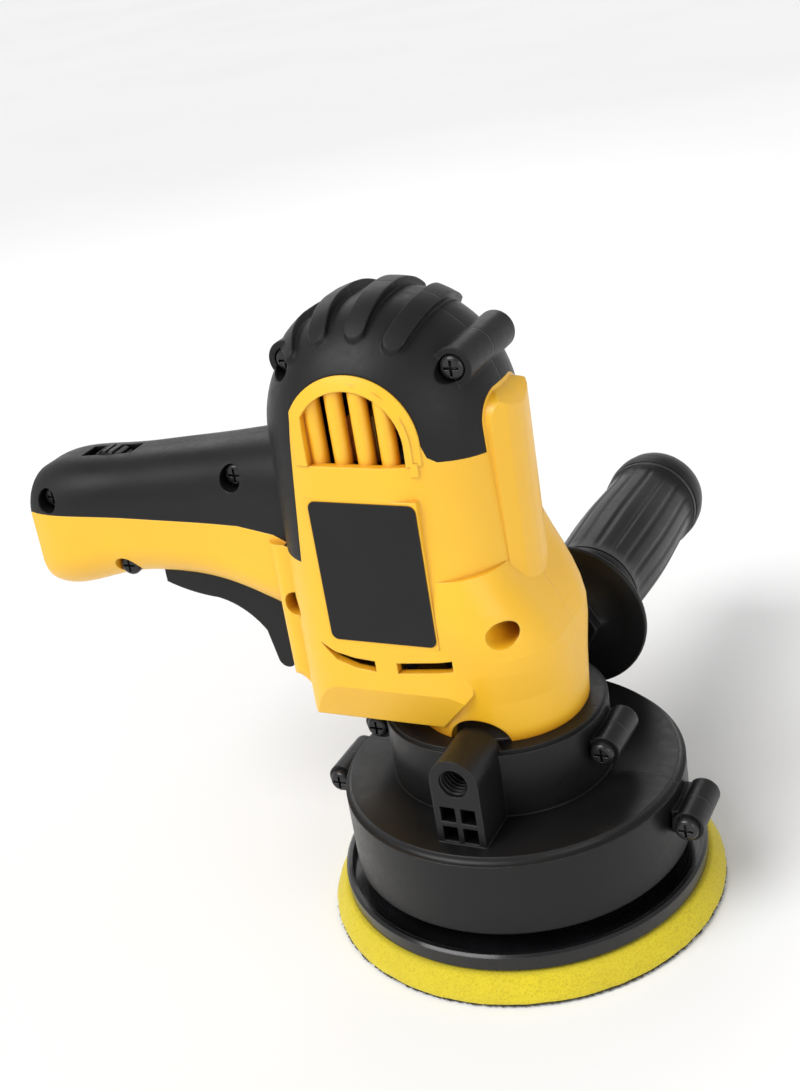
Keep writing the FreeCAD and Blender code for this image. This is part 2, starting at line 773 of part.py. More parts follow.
def handle(name, inset):
    """The rear handle, lofted through rounded sections that stand on the X axis."""
    sections = []
    for reach, middle, tall, wide in HANDLE_SECTIONS:
        last = reach == "-handle_end_x"
        shift = f"-({reach})" + (f"+({inset})" if last else "")
        w, t = f"({wide}-({inset}))", f"({tall}-({inset}))"
        sections.append((shift, "0", middle, w, t, f"({w}*0.78)"))
    return rounded_loft(name, "YZ_Plane", sections)


def heel(name, inset):
    """The deep part of the casing in front of the trigger."""
    left = f"heel_x+({inset})"
    low = f"heel_bottom+({inset})"
    body = slab(name, [(left, "heel_bottom+heel_corner"), (left, "heel_top"), ("-30", "heel_top"),
                       ("-30", low),
                       ("heel_x+heel_corner", low), (f"heel_corner-({inset})", -1)], f"heel_half-({inset})")
    edge_x = value(left)

    def upright(edge):
        bounds = edge.BoundBox
        return bounds.YLength < 0.01 and bounds.XMax < edge_x + value("heel_corner")

    return round_edges(body, f"heel_round-({inset})", upright)


def ribs():
    """Grip ribs over the dome: round-ended radial bars trimmed to a slightly swollen barrel."""
    skin = barrel("rib_skin", "0", "rib_height")
    bars = []
    centre = "(barrel_left+barrel_right)/2"
    for index in range(int(value("rib_count"))):
        turn = f"(first_rib_angle+rib_pitch*{index})"
        rotation = FreeCAD.Rotation(V(0, 1, 0), 90 - value(turn))
        bar = slab(f"rib_bar_{index}", [
            ("-rib_width/2", "-rib_reach"), ("-rib_width/2", "rib_reach"), ("half", 1),
            ("rib_width/2", "rib_reach"),
            ("rib_width/2", "-rib_reach"), ("half", 1)], "60", "XY_Plane")
        bars.append(place(bar, (centre, "0", "dome_z"), rotation))
    above = box("rib_room", ("barrel_left-10", "barrel_right+10"), ("-half_depth", "half_depth"),
                ("dome_z", "220"))
    return common("dome_ribs", common("rib_caps", skin, above), fuse("rib_bars", bars))


def arch_outline(inset):
    """The vent arch, drawn clockwise from its lower left corner; its crown follows the dome."""
    left, right = f"(arch_left+({inset}))", f"(arch_right-({inset}))"
    r = f"(arch_radius-({inset}))"
    centre = "(barrel_left+barrel_right)/2"
    spring = f"dome_z+sqrt({r}*{r}-({left}-{centre})*({left}-{centre}))"
    return [(left, "arch_foot"), (left, spring), (r, 1), (right, "dome_z"), (right, "arch_foot")]


SCREWS = (
    # name, x, z, seat depth from the middle plane
    ("dome_right", "6", "178", "dome_screw_seat"),
    ("dome_left", "-44.5", "180", "dome_screw_seat"),
    ("neck_right", "14.6", "102.8", "9"),
    ("heel_left", "-54", "104.5", "14"),
    ("handle_root", "-72", "142.5", "11"),
    ("handle_middle", "-119.5", "109", "11"),
    ("handle_end", "-143.5", "132", "11"),
)


def casing_solid():
    """The casing's outer form before it is hollowed."""
    solids = [trunk("barrel_outer", "0"), neck_outer(), ridge(), handle("handle_outer", "0"),
              heel("heel_outer", "0"), ribs()]
    for name, x, z, seat in SCREWS[:2]:
        solids.append(cylinder(name + "_boss", "dome_boss_radius", f"2*({seat}+1.8)",
                               (x, f"-({seat})-1.8", z), UP_Y))
    return fuse("casing_form", solids)


def chin_cut(name, sign, inset):
    """Wedge that tucks the barrel's lower front or back edge in above the collar."""
    face = f"half_depth-({inset})"
    tuck = f"half_depth-chin_depth-({inset})"
    return slab(name, [
        (f"{sign}({face}+0.01)", "chin_top"), (f"{sign}(half_depth+20)", "chin_top"),
        (f"{sign}(half_depth+20)", "body_bottom-10"), (f"{sign}({tuck})", "body_bottom-10"),
        (f"{sign}({tuck})", f"body_bottom+({inset})")], "100", "YZ_Plane")


def trunk(name, inset):
    """The barrel with its bevelled chin, cut back on the right where the neck takes over."""
    takeover = slab(name + "_takeover", [
        (f"chin_end_low-({inset})", "body_bottom-5"), (f"chin_end_low-({inset})", "body_bottom"),
        (f"chin_end_high-({inset})", "chin_top+0.5"), (f"chin_end_high+1-({inset})", "neck_shoulder+3"),
        ("barrel_right+5", "neck_shoulder+9"), ("barrel_right+5", "body_bottom-5")], "60")
    return cut(name, barrel(name + "_plain", inset), [
        chin_cut(name + "_front_chin", "-", inset), chin_cut(name + "_back_chin", "", inset), takeover])


def casing_hollow():
    """The room inside the casing, with webs left standing for bearings and stator."""
    room = [trunk("barrel_inner", "wall"), neck_inner(), handle("handle_inner", "wall"),
            heel("heel_inner", "wall")]
    walls = []
    for name, low, high, bore in (
            ("low_web", "motor_bearing_z+1", "motor_bearing_z+small_bearing_height-1",
             "small_bearing_radius"),
            ("stator_low", "core_bottom+1", "core_bottom+3.5", "stator_radius"),
            ("stator_high", "core_top-3.5", "core_top-1", "stator_radius"),
            ("dome_web", "dome_bearing_z+1", "dome_bearing_z+small_bearing_height-1",
             "small_bearing_radius")):
        plate = box(name, ("barrel_left-1", "barrel_right+5"), ("-half_depth", "half_depth"), (low, high))
        bore = cylinder(name + "_bore", bore, "20", ("motor_x", "0", low + "-5"))
        walls.append(cut(name + "_wall", plate, [bore]))
    for name, x, z, _ in SCREWS:
        walls.append(cylinder(name + "_post", "internal_boss", "2*half_depth", (x, "-half_depth", z), UP_Y))
    return cut("casing_room", fuse("casing_space", room), walls)


def vent_cuts():
    """The arched intake behind its bars and the two exhaust slots, on both faces."""
    tools = []
    for name, y in (("front", ("-60", "-18")), ("back", ("18", "60"))):
        window = slab(f"{name}_window", arch_outline("arch_rim"), "60")
        reach = box(f"{name}_window_reach", ("-60", "20"), y, ("140", "190"))
        tools.append(common(f"{name}_window_cut", window, reach))
        left = slab(f"{name}_left_slot", [
            ("-42", "98.2"), ("-37", "95.4"), ("-31", "93.9"), ("-24.5", "93.4"), ("-24.5", "89.9"),
            ("-31", "90.6"), ("-37", "92.8")], "60")
        right = slab(f"{name}_right_slot", [
            ("-17.5", "93.4"), ("0", "95.4"), ("0", "92"), ("-17.5", "90")], "60")
        for slot, shape in (("left", left), ("right", right)):
            tools.append(common(f"{name}_{slot}_cut", shape,
                                box(f"{name}_{slot}_reach", ("-60", "20"), y, ("80", "110"))))
    return tools


def vent_bars():
    """Upright round bars and the raised rim of both intake arches."""
    frame = slab("arch_frame", arch_outline("0"), "half_depth+arch_relief")
    core = slab("arch_core", arch_outline("arch_rim"), "half_depth+5")
    layer = barrel("arch_layer", "-arch_relief")
    inside = barrel("arch_inside", "wall")
    rims = cut("arch_rims", common("arch_skin", frame, layer), [core, inside])
    bars = []
    for index in range(int(value("bar_count"))):
        x = f"first_bar_x+bar_pitch*{index}"
        for side, y in (("front", "-(half_depth-bar_setback)"), ("back", "half_depth-bar_setback")):
            bars.append(cylinder(f"bar_{index}_{side}", "bar_radius", "32", (x, y, "arch_foot-3")))
    limit = slab("bar_limit", arch_outline("2"), "60")
    foot = box("bar_foot", ("arch_left+1", "arch_right-1"), ("-half_depth", "half_depth"),
               ("arch_foot-3", "arch_foot+1"))
    return [rims, common("vent_bars", fuse("bar_set", bars), fuse("bar_room", [limit, foot]))]


def label_seat():
    """A flat panel under the label, just proud of the barrel's rounded edge."""
    return box("label_seat", ("label_left-0.9", "label_right+0.5"), ("-half_depth", "3-half_depth"),
               ("label_bottom-0.9", "label_top+0.9"))


def trigger_opening():
    return box("trigger_slot", ("-112.5", "heel_x-1.2"), ("-(trigger_half+0.5)", "trigger_half+0.5"),
               ("90", "112"))


def screw_cuts():
    tools = []
    for name, x, z, seat in SCREWS:
        tools.append(cylinder(name + "_pocket", "pocket_radius", "60", (x, f"-({seat})-60", z), UP_Y))
        tools.append(cylinder(name + "_hole", "screw_hole", "screw_length+1.5", (x, f"-({seat})-1", z),
                              UP_Y))
    return tools


def black_region():
    """Everything above and behind the line where the dark cover meets the yellow casing."""
    return slab("cover_region", [
        *arch_outline("0")[1:-1], ("0.2", "156.4"), ("2.4", "154.6"), ("13.4", "152.6"), ("60", "152.6"),
        ("60", "230"), ("-200", "230"), ("-200", "split_z"), ("-72", "split_z"), ("-59", "126"),
        ("-53.5", "123.6"), ("-43.9", "123.4")], "80")


def make_casing():
    cuts = vent_cuts() + screw_cuts() + [trigger_opening()]
    for name, sign in (("front", -1), ("back", 1)):
        start = "-boss_face-3" if sign < 0 else "20"
        cuts.append(cylinder(f"arch_over_{name}", "boss_half_width+1.8", "boss_face-17",
                             ("boss_x", start, "boss_z"), UP_Y))
    cuts.append(cylinder("shaft_way", "6", "30", ("motor_x", "0", "spigot_bottom-2")))
    cuts.append(cylinder("lock_way", "lock_radius+0.3", "30", ("lock_x", "5", "lock_z"), UP_Y))
    cuts.append(cylinder("cord_way", "6.05", "20", ("handle_end_x-5", "0", "cord_z"), UP_X))
    cuts.append(box("wheel_way", ("wheel_x-wheel_radius", "wheel_x+wheel_radius"),
                    ("-(wheel_width/2+0.6)", "wheel_width/2+0.6"), ("132", "150")))
    hollowed = cut("casing_shell", casing_solid(), [casing_hollow()])
    seated = fuse("casing_seated", [hollowed, label_seat()])
    barred = fuse("casing_barred", [cut("casing_opened", seated, cuts)] + vent_bars())
    tongue = common("tongue", slab("tongue_face", ridge_outline("1"), "60", "YZ_Plane"),
                    box("tongue_room", ("9", "60"), ("-60", "60"), ("90", "200")))
    cover_zone = cut("cover_zone", black_region(), [tongue])
    cover = common("cover_whole", barred, cover_zone)
    main = cut("main_whole", barred, [cover_zone])
    for side in ("front", "back"):
        keep_part(half(f"cover_{side}_half", cover, side), f"grip_cover_{side}")
        keep_part(half(f"main_{side}_half", main, side), f"body_shell_{side}")


def spokes(name, count, inner, outer, width, low, high, x):
    """Upright plates standing round a vertical axis."""
    plates = []
    for index in range(count):
        turn = 2 * math.pi * index / count
        along, across = f"{math.cos(turn):.5f}", f"{math.sin(turn):.5f}"
        plate = doc.addObject("Part::Box", f"{name}_{index}")
        bind(plate, Length=f"({outer})-({inner})", Width=width, Height=f"({high})-({low})")
        base = (f"{x}+({inner})*{along}+({width})/2*{across}", f"({inner})*{across}-({width})/2*{along}",
                low)
        place(plate, base, FreeCAD.Rotation(V(0, 0, 1), math.degrees(turn)))
        plates.append(plate)
    return plates


def coil_spring(name, radius, wire, turns, length, base, rotation=UP_Z):
    """A round-wire compression spring swept along its helix."""
    helix = doc.addObject("Part::Helix", name + "_helix")
    bind(helix, Radius=radius, Pitch=f"({length})/{turns}", Height=length)
    ring = doc.addObject("Part::Circle", name + "_wire")
    bind(ring, Radius=wire)
    place(ring, (radius, "0", "0"), DOWN_Y)
    sweep = doc.addObject("Part::Sweep", name)
    sweep.Sections = [ring]
    sweep.Spine = (helix, ["Edge1"])
    sweep.Solid = True
    sweep.Frenet = True
    return place(sweep, base, rotation)


# ---------------------------------------------------------------- motor


def make_armature():
    shaft = turned("shaft_body", [
        ("0", "shaft_bottom"), ("shaft_tip_radius", "shaft_bottom"), ("shaft_tip_radius", "shaft_step"),
        ("shaft_radius", "shaft_step"), ("shaft_radius", "shaft_top-0.6"), ("shaft_radius-0.6", "shaft_top"),
        ("0", "shaft_top")], ("motor_x", "0", "0"))
    keep_part(shaft, "armature_shaft")
    core = tube("core_blank", "core_radius", "shaft_radius", "core_bottom", "core_top", "motor_x")
    slots = spokes("core_slot", int(value("core_slots")), "core_radius-6", "core_radius+1", "2.4",
                   "core_bottom-1", "core_top+1",
                   "motor_x")
    keep_part(cut("core_cut", core, slots), "armature_core")
    heads = [tube("winding_low", "core_radius-1.5", "shaft_radius+1", "core_bottom-6", "core_bottom",
                  "motor_x"),
             tube("winding_high", "core_radius-1.5", "shaft_radius+1", "core_top", "core_top+7", "motor_x")]
    wires = spokes("slot_wire", int(value("core_slots")), "core_radius-5.9", "core_radius-0.8", "2.2",
                   "core_bottom-1", "core_top+1",
                   "motor_x")
    keep_part(fuse("windings", heads + wires), "armature_windings")
    barrel_blank = tube("commutator_blank", "commutator_radius", "shaft_radius", "commutator_bottom",
                        "commutator_top", "motor_x")
    gaps = spokes("bar_gap", int(value("commutator_bars")), "commutator_radius-1.2", "commutator_radius+1",
                  "0.5", "commutator_bottom-1",
                  "commutator_top-2.5", "motor_x")
    keep_part(cut("commutator_cut", barrel_blank, gaps), "commutator")
    hub = tube("fan_hub", "8", "shaft_radius", "fan_bottom", "fan_bottom+fan_height", "motor_x")
    plate = tube("fan_plate", "fan_radius", "7", "fan_bottom+fan_height-1.6", "fan_bottom+fan_height",
                 "motor_x")
    blades = spokes("fan_blade", int(value("fan_blades")), "7", "fan_radius-0.2", "1.5", "fan_bottom",
                    "fan_bottom+fan_height-1",
                    "motor_x")
    keep_part(fuse("fan", [hub, plate] + blades), "cooling_fan")


def make_stator():
    low, high = "core_bottom", "core_top"
    yoke = tube("yoke", "stator_radius-0.05", "coil_outer+0.3", low, high, "motor_x")
    inner_ring = tube("pole_ring", "coil_outer+0.4", "stator_bore", low, high, "motor_x")
    pole_zone = box("pole_zone", ("motor_x-pole_half", "motor_x+pole_half"), ("-40", "40"), (low, high))
    keep_part(fuse("stator", [yoke, common("poles", inner_ring, pole_zone)]), "stator_core")
    bottom, top = f"{low}-winding_reach", f"{high}+winding_reach"
    ring = tube("coil_ring", "coil_outer", "stator_bore+0.4", bottom, top, "motor_x")
    window = box("coil_window", ("motor_x-pole_half-0.3", "motor_x+pole_half+0.3"), ("-40", "40"),
                 (f"{low}-0.3", f"{high}+0.3"))
    gap = box("coil_gap", ("motor_x-40", "motor_x+40"), ("-pole_gap", "pole_gap"),
              (f"{bottom}-1", f"{top}+1"))
    keep_part(cut("coils", ring, [window, gap]), "field_coils")


def make_brush_gear():
    middle = "(commutator_bottom+commutator_top)/2"
    plate_top = f"{middle}-brush_height/2-1.6"
    plate = tube("brush_plate_body", "holder_outer-0.3", "commutator_radius+3", f"{plate_top}-2", plate_top,
                 "motor_x")
    keep_part(plate, "brush_plate")
    holders, brushes, springs = [], [], []
    for side, start, finish in (("front", "-holder_outer", "-brush_inner-2"), ("back", "brush_inner+2",
                                                                             "holder_outer")):
        case = box(f"holder_{side}", ("motor_x-brush_width/2-1.2", "motor_x+brush_width/2+1.2"),
                   (start, finish),
                   (f"{middle}-brush_height/2-1.6", f"{middle}+brush_height/2+1.6"))
        way_y = ("-holder_outer+1", "0") if side == "front" else ("0", "holder_outer-1")
        way = box(f"brush_way_{side}", ("motor_x-brush_width/2-0.1", "motor_x+brush_width/2+0.1"), way_y,
                  (f"{middle}-brush_height/2-0.1", f"{middle}+brush_height/2+0.1"))
        holders.append(cut(f"holder_{side}_cut", case, [way]))
        reach = ("-brush_outer", "-brush_inner") if side == "front" else ("brush_inner", "brush_outer")
        brushes.append(box(f"brush_{side}", ("motor_x-brush_width/2", "motor_x+brush_width/2"), reach,
                           (f"{middle}-brush_height/2", f"{middle}+brush_height/2")))
        base_y = "-holder_outer+1.5" if side == "front" else "brush_outer+0.5"
        springs.append(coil_spring(f"brush_spring_{side}", "2", "0.3", 3, "holder_outer-brush_outer-2",
                                   ("motor_x", base_y, middle), UP_Y))
    keep_part(group("holder_pair", holders), "brush_holders")
    keep_part(group("brush_pair", brushes), "carbon_brushes")
    keep_part(group("brush_spring_pair", springs), "brush_springs")


# ---------------------------------------------------------------- controls in the rear handle


def make_trigger():
    blade = slab("trigger_form", [
        ("-110.6", "112.5"), ("-101.5", "112.5"), ("-101.5", "107"), ("-64.8", "107"), ("-64.8", "86"),
        ("-67.6", "75.6"), ("3.2", 1), ("-73.8", "75.6"), ("-76", "86"), ("26", -1), ("-92", "96.6"),
        ("60", 1), ("-110.6", "101")], "trigger_half")
    hole = cylinder("spring_hole", "spring_radius+spring_wire+0.3", "30",
                    ("spring_x", "0", "spring_low-0.45"))
    keep_part(cut("trigger_cut", blade, [hole]), "trigger")
    turns = 7
    spring = coil_spring("trigger_spring_body", "spring_radius", "spring_wire", turns,
                         "spring_high-spring_low-2*spring_wire", ("spring_x", "0", "spring_low+spring_wire"))
    keep_part(spring, "trigger_spring")


def make_switch():
    case = box("switch_case", ("-99", "-79"), ("-8.5", "8.5"), ("spring_high", "134"))
    tab = box("switch_tab", ("-80", "-70"), ("-5", "5"), ("spring_high", "spring_high+3"))
    plunger = cylinder("switch_plunger", "2.2", "6", ("-88", "0", "134"))
    keep_part(fuse("switch_form", [case, tab, plunger]), "power_switch")
    capacitor = box("capacitor_case", ("-114.5", "-101"), ("-7.5", "7.5"), ("120", "131"))
    keep_part(capacitor, "suppression_capacitor")
    button = turned("lock_form", [
        ("0", "12.3"), ("lock_radius+1.2", "12.3"), ("lock_radius+1.2", "13.3"), ("lock_radius", "13.3"),
        ("lock_radius", "lock_face-0.8"), ("lock_radius-0.8", "lock_face"), ("0", "lock_face")],
        ("lock_x", "0", "lock_z"), UP_Y)
    keep_part(button, "lock_button")


def make_speed_wheel():
    wheel = turned("wheel_form", [
        ("1.6", "-wheel_width/2"), ("wheel_radius-0.6", "-wheel_width/2"),
        ("wheel_radius", "0.6-wheel_width/2"),
        ("wheel_radius", "wheel_width/2-0.6"), ("wheel_radius-0.6", "wheel_width/2"),
        ("1.6", "wheel_width/2")])
    notches = spokes("wheel_notch", int(value("wheel_notches")), "wheel_radius-0.7", "wheel_radius+1",
                     "1.1", "-wheel_width",
                     "wheel_width", "0")
    knurled = cut("wheel_cut", wheel, notches)
    keep_part(place(knurled, ("wheel_x", "0", "wheel_z"), UP_Y), "speed_wheel")
    case = box("dial_case", ("wheel_x-6", "wheel_x+6"), ("wheel_width/2+0.6", "wheel_width/2+6"),
               ("wheel_z-6", "wheel_z+3"))
    pin = cylinder("dial_pin", "1.5", "wheel_width+2.6", ("wheel_x", "-wheel_width/2-1", "wheel_z"), UP_Y)
    keep_part(fuse("dial_form", [case, pin]), "speed_control")


def make_gland():
    out, inside = "-handle_end_x", "-handle_end_x-wall"
    gland = turned("gland_form", [
        ("cord_radius", f"{inside}-2.5"), ("8", f"{inside}-2.5"), ("8", f"{inside}-0.05"),
        ("6", f"{inside}-0.05"),
        ("6", f"{out}+0.05"), ("8.4", f"{out}+0.05"), ("8.4", f"{out}+1.6"), ("6.4", f"{out}+5"),
        ("cord_radius", f"{out}+5")], ("0", "0", "cord_z"), FreeCAD.Rotation(V(0, 1, 0), -90))
    keep_part(gland, "cord_gland")


# ---------------------------------------------------------------- side handle, label and screws


def make_side_handle():
    grip = turned("grip_form", [
        ("stud_radius", "side_start"), ("11", "side_start"), ("11", "guard_y-2.4"), ("14.5", "guard_y-1.2"),
        ("guard_radius-0.6", "guard_y-0.6"), ("guard_radius", "guard_y"),
        ("guard_radius-0.3", "guard_y+1.6"),
        ("grip_radius+3.5", "guard_y+5"), ("grip_radius+1.5", "guard_y+9"), ("70", -1),
        ("grip_radius+0.5", "guard_y+45"), ("90", 1), ("grip_radius+2", "grip_end-14"), ("14", -1),
        ("grip_radius-5", "grip_end"), ("0", "grip_end"), ("0", "guard_y+30"),
        ("stud_radius", "guard_y+30")],
        ("boss_x", "0", "boss_z"), UP_Y)
    keep_part(grip, "side_handle_grip")
    stud = turned("stud_form", [
        ("0", "boss_face-boss_thread_depth+2"), ("stud_radius-0.8", "boss_face-boss_thread_depth+2"),
        ("stud_radius", "boss_face-boss_thread_depth+2.8"), ("stud_radius", "guard_y+30"),
        ("0", "guard_y+30")],
        ("boss_x", "0", "boss_z"), UP_Y)
    keep_part(stud, "side_handle_stud")


def make_label():
    corner = "2.2"
    left, right, low, high = "label_left", "label_right", "label_bottom", "label_top"
    sheet_form = slab("label_form", [
        (f"{left}+{corner}", low), (f"{right}-{corner}", low), (corner, -1), (right, f"{low}+{corner}"),
        (right, f"{high}-{corner}"), (corner, -1), (f"{right}-{corner}", high), (f"{left}+{corner}", high),
        (corner, -1), (left, f"{high}-{corner}"), (left, f"{low}+{corner}"), (corner, -1)],
        "half_depth+label_thickness")
    room = box("label_room", ("-100", "100"), ("-half_depth", "200"), ("0", "300"))
    keep_part(cut("label_cut", sheet_form, [room]), "label")


def screw(name, x, z, seat, length):
    """Pan-head cross-recess screw lying along Y with its head to the front."""
    form = turned(name + "_form", [
        ("0", "-head_height"), ("head_radius-1.5", "-head_height"), ("1.5", -1),
        ("head_radius", "1.5-head_height"),
        ("head_radius", "0"), ("screw_radius", "0"), ("screw_radius", f"({length})-1.5"), ("0.6", length),
        ("0", length)])
    slots = [box(name + "_slot_a", ("-2.3", "2.3"), ("-0.4", "0.4"), ("-head_height-1", "-head_height+1.4")),
             box(name + "_slot_b", ("-0.4", "0.4"), ("-2.3", "2.3"), ("-head_height-1", "-head_height+1.4"))]
    return place(cut(name + "_screw", form, slots), (x, f"-({seat})", z), UP_Y)


def make_screws():
    casing = [screw(name, x, z, seat, "screw_length") for name, x, z, seat in SCREWS]
    keep_part(group("casing_screw_set", casing), "body_screws")
    housing = [screw(name, x, z, "lug_length", "2*lug_length-1") for name, x, z, _ in LUGS]
    keep_part(group("housing_screw_set", housing), "housing_screws")


fill_sheet()
make_pad()
make_spindle()
make_bearings()
make_gears()
make_gear_housing()
make_casing()
make_armature()
make_stator()
make_brush_gear()
make_trigger()
make_switch()
make_speed_wheel()
make_gland()
make_side_handle()
make_label()
make_screws()
doc.recompute()

failed = [item.Name for item in doc.Objects if "Invalid" in item.State or "Error" in item.State]
if failed:
    raise SystemExit(f"features that failed: {failed}")
for item in parts:
    if item.Shape.isNull() or not item.Shape.isValid():
        raise SystemExit(f"bad shape: {item.Label}")

os.makedirs("parts", exist_ok=True)
for item in parts:
    item.Shape.exportStep(f"parts/{item.Label}.step")
    print(f"{item.Label:28s} solids {len(item.Shape.Solids):3d}  volume {item.Shape.Volume:10.1f}")
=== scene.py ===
import json
import math
import random

import bmesh
import bpy
from mathutils import Matrix, Vector, noise


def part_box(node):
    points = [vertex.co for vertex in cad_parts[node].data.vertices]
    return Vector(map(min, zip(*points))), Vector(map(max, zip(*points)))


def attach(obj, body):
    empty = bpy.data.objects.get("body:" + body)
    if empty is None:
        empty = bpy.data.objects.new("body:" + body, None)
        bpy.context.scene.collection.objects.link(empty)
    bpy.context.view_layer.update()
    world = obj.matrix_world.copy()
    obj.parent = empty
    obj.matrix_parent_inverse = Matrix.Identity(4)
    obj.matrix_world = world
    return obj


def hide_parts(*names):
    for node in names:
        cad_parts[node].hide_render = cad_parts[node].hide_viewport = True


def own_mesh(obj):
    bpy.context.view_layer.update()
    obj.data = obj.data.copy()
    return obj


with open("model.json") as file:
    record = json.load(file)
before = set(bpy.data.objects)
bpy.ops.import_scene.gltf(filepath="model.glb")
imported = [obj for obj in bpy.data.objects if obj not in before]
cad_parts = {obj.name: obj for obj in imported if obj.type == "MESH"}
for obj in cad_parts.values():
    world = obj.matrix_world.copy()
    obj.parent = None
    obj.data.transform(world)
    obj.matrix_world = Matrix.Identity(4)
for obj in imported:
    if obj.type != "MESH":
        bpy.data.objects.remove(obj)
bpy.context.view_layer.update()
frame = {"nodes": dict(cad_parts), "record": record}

# Compact rotary polisher, in metres, in the CAD model's own frame:
# the pad's working face lies on Z = 0, the rear handle points to -X and the side handle to +Y.

MM = 0.001
nodes = frame["nodes"]
random.seed(7)


# ---------------------------------------------------------------- node helpers


class Shading:
    """A material being built: its tree, its shader and short ways to add and join nodes."""

    def __init__(self, name):
        self.material = bpy.data.materials.new(name)
        self.material.use_nodes = True
        self.tree = self.material.node_tree
        self.shader = self.tree.nodes["Principled BSDF"]
        self.place = self.add("ShaderNodeTexCoord").outputs["Object"]

    def add(self, kind, **settings):
        node = self.tree.nodes.new(kind)
        for key, value in settings.items():
            setattr(node, key, value)
        return node

    def join(self, source, target):
        self.tree.links.new(source, target)

    def noise(self, scale, detail=3.0, roughness=0.5, stretch=None):
        texture = self.add("ShaderNodeTexNoise")
        texture.inputs["Scale"].default_value = scale
        texture.inputs["Detail"].default_value = detail
        texture.inputs["Roughness"].default_value = roughness
        place = self.place
        if stretch:
            mapping = self.add("ShaderNodeMapping")
            mapping.inputs["Scale"].default_value = stretch
            self.join(place, mapping.inputs["Vector"])
            place = mapping.outputs["Vector"]
        self.join(place, texture.inputs["Vector"])
        return texture.outputs["Fac"]

    def cells(self, scale):
        texture = self.add("ShaderNodeTexVoronoi", feature="F1")
        texture.inputs["Scale"].default_value = scale
        self.join(self.place, texture.inputs["Vector"])
        return texture.outputs["Distance"]

    def span(self, source, low, high, start=0.3, end=0.7):
        """Maps a 0-1 field between start and end onto low to high."""
        ranged = self.add("ShaderNodeMapRange")
        for key, value in (("From Min", start), ("From Max", end), ("To Min", low), ("To Max", high)):
            ranged.inputs[key].default_value = value
        self.join(source, ranged.inputs["Value"])
        return ranged.outputs["Result"]

    def ramp(self, source, stops):
        """Colours along a 0-1 field; stops are (position, colour)."""
        node = self.add("ShaderNodeValToRGB")
        while len(node.color_ramp.elements) < len(stops):
            node.color_ramp.elements.new(0.5)
        for element, (position, colour) in zip(node.color_ramp.elements, stops):
            element.position = position
            element.color = (*colour, 1)
        self.join(source, node.inputs["Fac"])
        return node.outputs["Color"]

    def mix(self, factor, first, second, blend="MIX"):
        node = self.add("ShaderNodeMix", data_type="RGBA", blend_type=blend)
        self.join(factor, node.inputs["Factor"])
        for colour, socket in ((first, node.inputs[6]), (second, node.inputs[7])):
            if isinstance(colour, tuple):
                socket.default_value = (*colour, 1)
            else:
                self.join(colour, socket)
        return node.outputs[2]

    def maths(self, operation, first, second):
        node = self.add("ShaderNodeMath", operation=operation, use_clamp=True)
        for item, socket in ((first, node.inputs[0]), (second, node.inputs[1])):
            if isinstance(item, (int, float)):
                socket.default_value = item
            else:
                self.join(item, socket)
        return node.outputs[0]

    def edge(self, radius):
        """1 along rounded-off edges and 0 on open surfaces, with the rounded normal itself."""
        bevel = self.add("ShaderNodeBevel", samples=4)
        bevel.inputs["Radius"].default_value = radius
        geometry = self.add("ShaderNodeNewGeometry")
        dot = self.add("ShaderNodeVectorMath", operation="DOT_PRODUCT")
        self.join(bevel.outputs["Normal"], dot.inputs[0])
        self.join(geometry.outputs["Normal"], dot.inputs[1])
        return self.span(dot.outputs["Value"], 1.0, 0.0, 0.75, 0.985), bevel.outputs["Normal"]

    def bump(self, height, strength, distance, normal=None):
        node = self.add("ShaderNodeBump")
        node.inputs["Strength"].default_value = strength
        node.inputs["Distance"].default_value = distance
        self.join(height, node.inputs["Height"])
        if normal:
            self.join(normal, node.inputs["Normal"])
        return node.outputs["Normal"]

    def crevice(self, distance):
        """1 in the open and lower in corners and slots."""
        node = self.add("ShaderNodeAmbientOcclusion", samples=6)
        node.inputs["Distance"].default_value = distance
        return node.outputs["AO"]

    def set(self, **values):
        for key, value in values.items():
            socket = self.shader.inputs[key.replace("_", " ")]
            socket.default_value = value
        return self

    def feed(self, **sources):
        for key, source in sources.items():
            self.join(source, self.shader.inputs[key.replace("_", " ")])
        return self


# ---------------------------------------------------------------- materials


def moulded(name, tones, edge_highlight_tone, roughness, grain, rounding=0.5 * MM, coat=0.0, gloss=0.3):
    """Moulded plastic: two close tones, a fine spark-eroded grain, a painted highlight along rounded edges
    (broken into flecks and smoother there) and painted shade towards the third tone in corners and slots.
    """
    look = Shading(name)
    broad = look.noise(28, 2)
    fine = look.noise(grain[0], 2, 0.6)
    flecks = look.noise(420, 4, 0.65)
    colour = look.ramp(broad, [(0.3, tones[0]), (0.7, tones[1])])
    edge, rounded = look.edge(rounding)
    # painted highlight: rounded edges, broken into flecks, are lightened towards a paler tone and made a
    # little smoother
    painted_edge_highlight = look.maths("MULTIPLY", edge, look.span(flecks, 0.25, 1.0, 0.35, 0.62))
    colour = look.mix(painted_edge_highlight, colour, edge_highlight_tone)
    # painted shade: corners and slots darken towards the third tone
    shade = look.span(look.crevice(6 * MM), 0.0, 1.0, 0.25, 0.85)
    colour = look.mix(shade, tones[2], colour)
    rough = look.maths("ADD", look.span(broad, *roughness), look.span(flecks, -0.05, 0.05))
    rough = look.maths("SUBTRACT", rough, look.maths("MULTIPLY", painted_edge_highlight, 0.08))
    look.feed(Base_Color=colour, Roughness=rough, Normal=look.bump(fine, grain[1], 0.06 * MM, rounded))
    look.set(Coat_Weight=coat, Coat_Roughness=0.25, Specular_IOR_Level=gloss)
    return look.material


